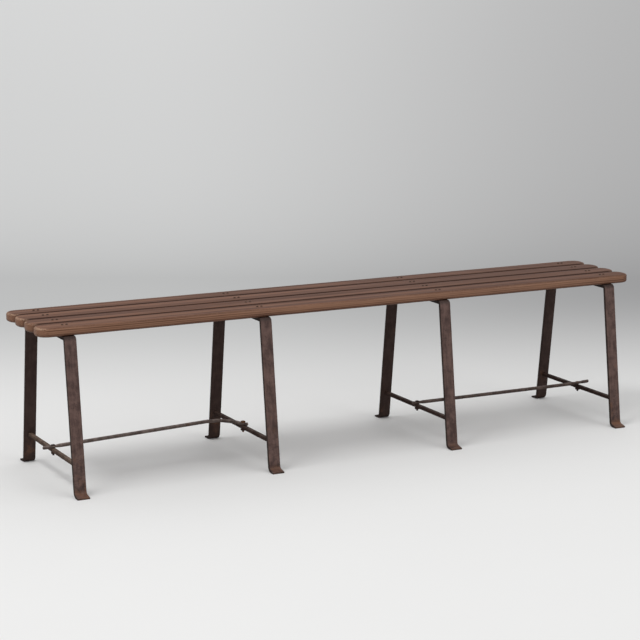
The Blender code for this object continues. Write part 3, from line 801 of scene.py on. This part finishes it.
def rod_stations(bolts, tips, turns):
    """Stations along a rod, from the tip past its first bolt to the tip past its last one."""
    route = [bolts[0], *turns, bolts[1]]
    headings = [(route[0] - route[1]).normalized(), (route[-1] - route[-2]).normalized()]
    reaches = [TONGUE_HALF_WIDTH + tip_length for tip_length, _, _ in tips]
    first, last = (bolt + reach * heading for bolt, reach, heading in zip(bolts, reaches, headings))
    stations = []
    for point, normal in bent_line([first, *turns, last], [BEND_RADIUS] * len(turns), ROD_STEP):
        end = int((point - bolts[1]).length < (point - bolts[0]).length)
        tip_length, tip_half_width, tip_lift = tips[end]
        past_bolt = (point - bolts[end]).dot(headings[end])
        lift = tip_lift * max(0.0, (past_bolt + TIP_LIFT_REACH) / (reaches[end] + TIP_LIFT_REACH)) ** 2
        from_turn = min([(point - turn).length / BEND_SAG_REACH for turn in turns], default=1.0)
        sag = BEND_SAG * max(0.0, 1 - from_turn ** 2) ** 2
        section = rod_section(past_bolt, tip_length, tip_half_width)
        stations.append(((*point, TONGUE_HEIGHT + lift - sag), UPRIGHT, (*normal, 0), *section))
    return stations


def middle_of(node):
    """The middle of a plain solid's box."""
    return sum(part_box(node), Vector()) / 2


rods = (
    ("left", TRESTLES[:2], (LEFT_TIP, SHORT_TIP), [BEND_OFFSET]),
    ("right", TRESTLES[2:], (SHORT_TIP, RIGHT_TIP), []),
)
for number, (side, pair, tips, bends) in enumerate(rods):
    bolts = [middle_of(f"{trestle}_tie_bolt").xy for trestle in pair]
    turns = [bolts[1] + Vector(bend) for bend in bends]
    rod_iron = forged_iron(f"rod_iron_{side}", *ROD_LIT_AND_SHADED_TONES[number], IRON_RUST)
    rod_sizes = {
        "Section Width": 2 * ROD_RADIUS,
        "Section Height": 2 * ROD_RADIUS,
        "Corner Radius": 0.8 * ROD_RADIUS,
        "Section Points": 24,
        "Worn Reach": 0.002,
        "Dent Depth": 0.00025,
        "Dent Spread": 55.0,
        "Seed": 2.9 * number + 8.1,
        "Finish": rod_iron,
    }
    round_rod = swept_piece(f"{side}_round_rod", rod_stations(bolts, tips, turns), rod_sizes)
    fasten(round_rod, "rod_iron", f"{side}_tie_rod")

# Tie bolts and nuts. Square-headed iron bolts drop through the rods' tongues and the stretchers, and square
# nuts hold them from below. One head is tall and rusty and the rest are dark. Each is turned a little.
BOLT_RADIUS = 0.003
BOLT_HEAD_HALF = 0.0054
BOLT_HEAD_LOW = 0.0948
NUT_HALF = 0.0057
NUT_LOW = 0.0712
NUT_HIGH = 0.0765
BOLT_END = 0.0668
THREAD_PITCH = 0.0009
THREAD_DEPTH = 0.0004
CHAMFER = 0.0007
BOLT_SIDES = 32
BOLT_DARK = (0.100, 0.046, 0.020)
BOLT_LIGHT = (0.215, 0.100, 0.038)
BOLT_RUST = (0.280, 0.112, 0.035)

thread_rings = [(0, BOLT_END, ROUND), (BOLT_RADIUS - 2 * THREAD_DEPTH, BOLT_END, ROUND)]
thread_count = math.ceil((NUT_LOW - BOLT_END) / THREAD_PITCH) + 1
for turn in range(thread_count):
    root = BOLT_END + (turn + 0.2) * THREAD_PITCH
    thread_rings.append((BOLT_RADIUS - THREAD_DEPTH, root, ROUND))
    thread_rings.append((BOLT_RADIUS, root + THREAD_PITCH / 2, ROUND))


def bolt_rings(head_high):
    """Rings of a bolt from its threaded end up to the top of its square head."""
    return thread_rings + [
        (BOLT_RADIUS, BOLT_HEAD_LOW, ROUND),
        (BOLT_HEAD_HALF - CHAMFER / 2, BOLT_HEAD_LOW, SQUARE),
        (BOLT_HEAD_HALF, BOLT_HEAD_LOW + CHAMFER / 2, SQUARE),
        (BOLT_HEAD_HALF, head_high - 2 * CHAMFER, SQUARE),
        (BOLT_HEAD_HALF - CHAMFER, head_high - 0.6 * CHAMFER, 6),
        (BOLT_HEAD_HALF * 0.55, head_high - 0.1 * CHAMFER, 3),
        (0, head_high, ROUND),
    ]


nut_rings = [
    (0, NUT_LOW, ROUND),
    (BOLT_RADIUS, NUT_LOW, ROUND),
    (NUT_HALF - CHAMFER, NUT_LOW, 7),
    (NUT_HALF, NUT_LOW + CHAMFER, SQUARE),
    (NUT_HALF, NUT_HIGH - CHAMFER / 2, SQUARE),
    (NUT_HALF - CHAMFER / 2, NUT_HIGH, SQUARE),
    (0, NUT_HIGH, ROUND),
]
rusty_bolt_iron = forged_iron("rusty_bolt_iron", BOLT_DARK, BOLT_LIGHT, BOLT_RUST, rust_share=0.07)
dark_bolt_iron = forged_iron("dark_bolt_iron", IRON_PIT_AND_SHADE, IRON_DARK, BOLT_RUST, shine=DULL_SHINE)


def fix_at_bolts(name, shape_mesh, trestles, kind, seed, finish):
    """One piece with a copy of a bolt or nut upright at each of the trestles given."""
    nodes = [f"{trestle}_tie_{kind}" for trestle in trestles]
    points = [(*middle_of(node).xy, 0) for node in nodes]
    sizes = {"Turn Spread": 0.35, "Size Spread": 0.0, "Seed": seed, "Finish": finish}
    fasten(set_out_piece(name, shape_mesh, points, sizes), "bolt_iron", *nodes)


tall_headed = TRESTLES[1:2]
low_headed = TRESTLES[:1] + TRESTLES[2:]
tie_bolts = (
    ("low_tie_bolts", low_headed, 4, dark_bolt_iron),
    ("tall_tie_bolt", tall_headed, 6, rusty_bolt_iron),
)
for name, trestles, seed, finish in tie_bolts:
    head_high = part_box(f"{trestles[0]}_tie_bolt")[1].z
    bolt_mesh = turned_mesh(name, bolt_rings(head_high), BOLT_SIDES)
    fix_at_bolts(name, bolt_mesh, trestles, "bolt", seed, finish)
nut_mesh = turned_mesh("tie_nut", nut_rings, BOLT_SIDES)
fix_at_bolts("tie_nuts", nut_mesh, TRESTLES, "nut", 23, dark_bolt_iron)

# Seat slats. Four hardwood boards laid side by side across the trestles and riveted down, with ends rounded
# in plan and every edge worn round. An old brown stain has gone uneven and pale at the left ends; the gaps
# are black with grime and painted shade, and painted shade darkens the lower edges, the right ends and the
# right.
SLATS = ("front", "front_middle", "rear_middle", "rear")
SLAT_END_RADIUS = 0.030
SLAT_EASING = 0.006
SLAT_STEP = 0.012
SLAT_END_GAPS = (0.0, 0.0005, 0.0013, 0.0025, 0.0042, 0.006, 0.009, 0.013, 0.018, 0.024)
EASING_STEPS = 6
FLAT_STEPS = 14
SLAT_WEAR = 0.0004
WEAR_ALONG = 14
WEAR_ACROSS = 60
ARRIS_WEAR = 1.6
ARRIS_SPREAD = 1.7
GRAIN_SHIFT = (3.1, 5.7, 1.9)
PITH_DEPTH = 0.045
PITH_SWAY = 0.016
RING_SPACING = 0.0043
RING_WANDER = 0.008
END_WEAR_REACH = (0.006, 0.034)
GAP_GRIME_AND_SHADE_END_REACH = (0.010, 0.032)
GAP_SHADE_REACH = (0.004, 0.013)
UNDERSIDE_REACH = (0.001, 0.010)
TOP_FACE_DEPTH = 0.001
RIVET_STAIN_REACH = (0.0033, 0.0060)
WOOD_DEEP = (0.068, 0.027, 0.016)
WOOD_BROWN = (0.174, 0.078, 0.046)
WOOD_ORANGE = (0.200, 0.082, 0.038)
WOOD_GREY = (0.166, 0.094, 0.065)
WOOD_FRONT = (0.286, 0.157, 0.098)
WOOD_END = (0.290, 0.160, 0.100)
WOOD_RUBBED = (0.400, 0.260, 0.180)
WOOD_GRIME_AND_SHADE = (0.026, 0.010, 0.006)
WOOD_GLOSS = 0.16

rivet_nodes = [
    f"{trestle}_{slat}_{side}_rivet" for trestle in TRESTLES for slat in SLATS for side in ("left", "right")
]
rivet_spots = [middle_of(node) for node in rivet_nodes]
rivet_pair_half = (rivet_spots[1].x - rivet_spots[0].x) / 2


def stained_wood(name, low, high, seed, gap_sides):
    """Old stained board: growth rings, straight grain and fibres, uneven stain, grime and rubbed ends, with
    painted shade in the gaps, along the lower edges, at the right end and towards the right.
    """
    material, shader, place = new_finish(name, WOOD_GLOSS)
    x, y, z = place.parts()
    middle = (low + high) / 2
    half = (high - low) / 2
    shift = tuple(seed * part for part in GRAIN_SHIFT)

    def grained(along, across, detail, roughness=0.55):
        """Noise that is drawn out along the board."""
        return place.stretched((along, across, across), shift).noise(1.0, detail, roughness)

    wander = grained(1.1, 7.0, detail=3.0)
    streaks = grained(1.5, 110.0, detail=5.0, roughness=0.6)
    bands = grained(1.2, 46.0, detail=3.0)
    fibres = grained(9.0, 480.0, detail=3.0)
    clouds = grained(1.8, 15.0, detail=4.0, roughness=0.6)
    blots = grained(9.0, 24.0, detail=5.0, roughness=0.65)
    speckle = place.noise(260.0, detail=3.0)
    from_pith_y = y - (middle.y + PITH_SWAY * math.sin(2.2 * seed + 0.7))
    from_pith_z = z - (low.z - PITH_DEPTH)
    radius = (from_pith_y * from_pith_y + from_pith_z * from_pith_z) ** 0.5 + RING_WANDER * wander
    rings = ((radius * (math.tau / RING_SPACING)).sine() * 0.5 + 0.5) ** 2.0
    grain = (0.50 * streaks + 0.30 * fibres + 0.20 * rings).rise(0.28, 0.62)
    grey = clouds.rise(0.48, 0.66)
    orange = blots.rise(0.48, 0.68)
    lean = place.stored("lean")
    arris = place.stored("arris")
    end_gap = half.x - abs(x)
    near_end = 1 - end_gap.rise(*END_WEAR_REACH)
    # Painted shade at the right ends: less rubbed paleness and end grain there, and a darker tint.
    right_end = near_end * x.rise(0.0, half.x)
    patchy = (0.5 * blots + 0.5 * speckle).rise(0.40, 0.56)
    rubbed = arris * (0.16 + 0.84 * near_end - 0.7 * right_end) * patchy
    end_grain = lean * (near_end - 0.8 * right_end)
    across = y - middle.y
    inner = 0.6 * half.y
    beside_gap = across.rise(0.0, inner) * gap_sides[1] + (0.0 - across).rise(0.0, inner) * gap_sides[0]
    shaded = (1 - (half.y - abs(across)).rise(*GAP_SHADE_REACH)) * beside_gap
    # Grime and painted shade on the sides that face a gap, fading near the ends.
    gap_grime_and_shade = lean.rise(0.02, 0.60) * beside_gap * end_gap.rise(*GAP_GRIME_AND_SHADE_END_REACH)
    front_face = lean.rise(0.50, 0.95) * (1 - beside_gap) * (1 - near_end)
    # Painted shade along the lower edges of the board.
    underside = 1 - z.rise(*(low.z + reach for reach in UNDERSIDE_REACH))
    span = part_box("left_middle_trestle")[0].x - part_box("left_end_trestle")[0].x
    first = sum(corner.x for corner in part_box("left_end_trestle")) / 2
    from_trestle = abs((x - first + span / 2) % span - span / 2)
    rivet_x = from_trestle - rivet_pair_half
    from_rivet = (rivet_x * rivet_x + across * across) ** 0.5
    stained = (1 - from_rivet.rise(*RIVET_STAIN_REACH)) * z.rise(middle.z, high.z - TOP_FACE_DEPTH)
    colour = grain.tint(WOOD_DEEP, WOOD_BROWN)
    leftward = 1 - x.rise(0.0 - half.x, -0.2 * half.x)
    colour = ((0.50 * orange + 0.22 * leftward) * grain).tint(colour, WOOD_ORANGE)
    colour = (0.45 * grey * grain).tint(colour, WOOD_GREY)
    colour = (0.55 * bands.rise(0.49, 0.66) * (1 - front_face)).tint(colour, WOOD_DEEP)
    colour = (0.62 * front_face * grain).tint(colour, WOOD_FRONT)
    colour = (0.60 * end_grain * (0.35 + 0.65 * speckle)).tint(colour, WOOD_END)
    # Painted shade in the gaps and on the right ends.
    colour = (0.35 * shaded + 0.35 * lean * right_end).tint(colour, WOOD_DEEP)
    # Painted shade: the boards darken towards the right, except on the front face.
    colour = (0.30 * x.rise(-0.8 * half.x, half.x) * (1 - front_face)).tint(colour, WOOD_DEEP)
    colour = (0.85 * rubbed).tint(colour, WOOD_RUBBED)
    colour = (0.92 * gap_grime_and_shade).tint(colour, WOOD_GRIME_AND_SHADE)
    colour = (0.85 * underside).tint(colour, WOOD_DEEP)
    colour = (0.45 * stained).tint(colour, WOOD_GRIME_AND_SHADE)
    feed(shader, "Base Color", colour)
    feed(shader, "Roughness", 0.46 + 0.12 * grey - 0.06 * rubbed + 0.10 * (1 - grain) + 0.2 * gap_grime_and_shade)
    relief = 0.5 * streaks + 0.3 * fibres + 0.2 * rings
    bump = {"Strength": 0.35, "Distance": 0.0008, "Height": relief}
    feed(shader, "Normal", place.node("ShaderNodeBump", {}, bump))
    return material


def slat_half_width(half, gap, inset):
    """Half the width of a board's outline, drawn in by an inset, at a distance from the board's end."""
    if gap >= SLAT_END_RADIUS:
        return half.y - inset
    reach = (SLAT_END_RADIUS - inset) ** 2 - (SLAT_END_RADIUS - gap) ** 2
    return half.y - SLAT_END_RADIUS + math.sqrt(max(0.0, reach))


def slat_section(half, gap):
    """One cross-section of a board as (y, z, lean, arris). Lean is 0 on flat faces and 1 on the sides."""
    last_turn = math.acos(1 - min(SLAT_EASING, gap) / SLAT_EASING)
    arc = []
    for step in range(EASING_STEPS + 1):
        turn = last_turn * step / EASING_STEPS
        width = slat_half_width(half, gap, SLAT_EASING * (1 - math.cos(turn)))
        arc.append((width, half.z - SLAT_EASING * (1 - math.sin(turn)), math.cos(turn), math.sin(2 * turn)))
    edge = arc[-1]
    flat = [(edge[0] * (1 - 2 * step / FLAT_STEPS), *edge[1:]) for step in range(1, FLAT_STEPS)]
    upper = arc + flat + [(-y, *rest) for y, *rest in reversed(arc)]
    return upper + [(-y, -z, *rest) for y, z, *rest in upper]


def board_mesh(name, low, high, seed):
    """A board with rounded ends and eased edges, worn unevenly, with lean and arris kept on its points."""
    middle = (low + high) / 2
    half = (high - low) / 2
    straight = half.x - SLAT_END_RADIUS
    inner = straight_run(Vector((-straight, 0)), Vector((straight, 0)), SLAT_STEP)
    places = [gap - half.x for gap in SLAT_END_GAPS] + [point.x for point, _ in inner]
    places += [half.x - gap for gap in reversed(SLAT_END_GAPS)]
    shape = bmesh.new()
    lean_layer = shape.verts.layers.float.new("lean")
    arris_layer = shape.verts.layers.float.new("arris")
    sections = []
    for x in places:
        ring = []
        for y, z, lean, arris in slat_section(half, half.x - abs(x)):
            spot = Vector((x * WEAR_ALONG, y * WEAR_ACROSS, z * WEAR_ACROSS + seed))
            wear = SLAT_WEAR * (0.5 + 0.5 * noise.noise(spot))
            wear += ARRIS_WEAR * SLAT_WEAR * arris * (0.5 + 0.5 * noise.noise(spot * ARRIS_SPREAD))
            worn_y = y - math.copysign(min(abs(y), wear * lean), y)
            worn_z = z - math.copysign(wear * math.sqrt(1 - lean * lean), z)
            vertex = shape.verts.new((x, middle.y + worn_y, middle.z + worn_z))
            vertex[lean_layer] = lean
            vertex[arris_layer] = max(0.0, arris)
            ring.append(vertex)
        sections.append(ring)
    join_rings(shape, sections)
    shape.faces.new(sections[0])
    shape.faces.new(sections[-1])
    mesh = kept_mesh(name, shape)
    close_mesh(mesh)
    return mesh


for number, slat in enumerate(SLATS):
    low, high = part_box(f"{slat}_slat")
    board = new_object(f"{slat}_board", board_mesh(f"{slat}_board", low, high, 10.0 * number))
    gap_sides = (float(slat != SLATS[0]), float(slat != SLATS[-1]))
    board.data.materials.append(stained_wood(f"slat_wood_{slat}", low, high, number + 1.0, gap_sides))
    fasten(board, "slat_wood", f"{slat}_slat")

# Slat rivets. Iron rivets in pairs where a slat crosses a trestle. Their heads stand on the wood as low
# domes, and their tails are hammered over under the iron bar.
RIVET_HEAD_RADIUS = 0.0033
RIVET_HEAD_SINK = 0.0012
RIVET_HEAD_TILTS = (0, 24, 44, 62, 78)
RIVET_SHANK_RADIUS = 0.002
RIVET_TAIL_RADIUS = 0.0035
RIVET_TAIL_SINK = 0.0003
# Each ring of the tail is a share of its radius, a height above its end, and a squareness.
RIVET_TAIL_DOME = ((0.35, 0.0002, 2.2), (0.75, 0.0008, 2.4), (1.0, 0.0018, 2.4))
RIVET_DARK = (0.036, 0.021, 0.014)
RIVET_LIGHT = (0.080, 0.046, 0.031)

rivet_low, rivet_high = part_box(rivet_nodes[0])
seat_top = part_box(f"{SLATS[0]}_slat")[1].z
bar_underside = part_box("left_end_trestle")[1].z - BAR_THICKNESS
tail_top = bar_underside + RIVET_TAIL_SINK
head_low = seat_top - RIVET_HEAD_SINK
tail_rings = [(RIVET_TAIL_RADIUS * share, rivet_low.z + up, square) for share, up, square in RIVET_TAIL_DOME]
rivet_rings = [
    (0, rivet_low.z, ROUND),
    *tail_rings,
    (RIVET_TAIL_RADIUS, tail_top, 2.2),
    (RIVET_SHANK_RADIUS, tail_top, ROUND),
    (RIVET_SHANK_RADIUS, head_low, ROUND),
    (RIVET_HEAD_RADIUS, head_low, ROUND),
    *dome_rings(RIVET_HEAD_RADIUS, seat_top, rivet_high.z - seat_top, RIVET_HEAD_TILTS, ROUND),
    (0, rivet_high.z, ROUND),
]
rivet_iron = forged_iron("rivet_iron", RIVET_DARK, RIVET_LIGHT, BOLT_RUST, rust_share=-0.05)
rivet_points = [(spot.x, spot.y, 0) for spot in rivet_spots]
rivet_sizes = {"Turn Spread": 3.1, "Size Spread": 0.0, "Seed": 31, "Finish": rivet_iron}
rivet_shape = turned_mesh("slat_rivet", rivet_rings, HEAD_SIDES)
rivets = set_out_piece("slat_rivet_set", rivet_shape, rivet_points, rivet_sizes)
fasten(rivets, "rivet_iron", *rivet_nodes)
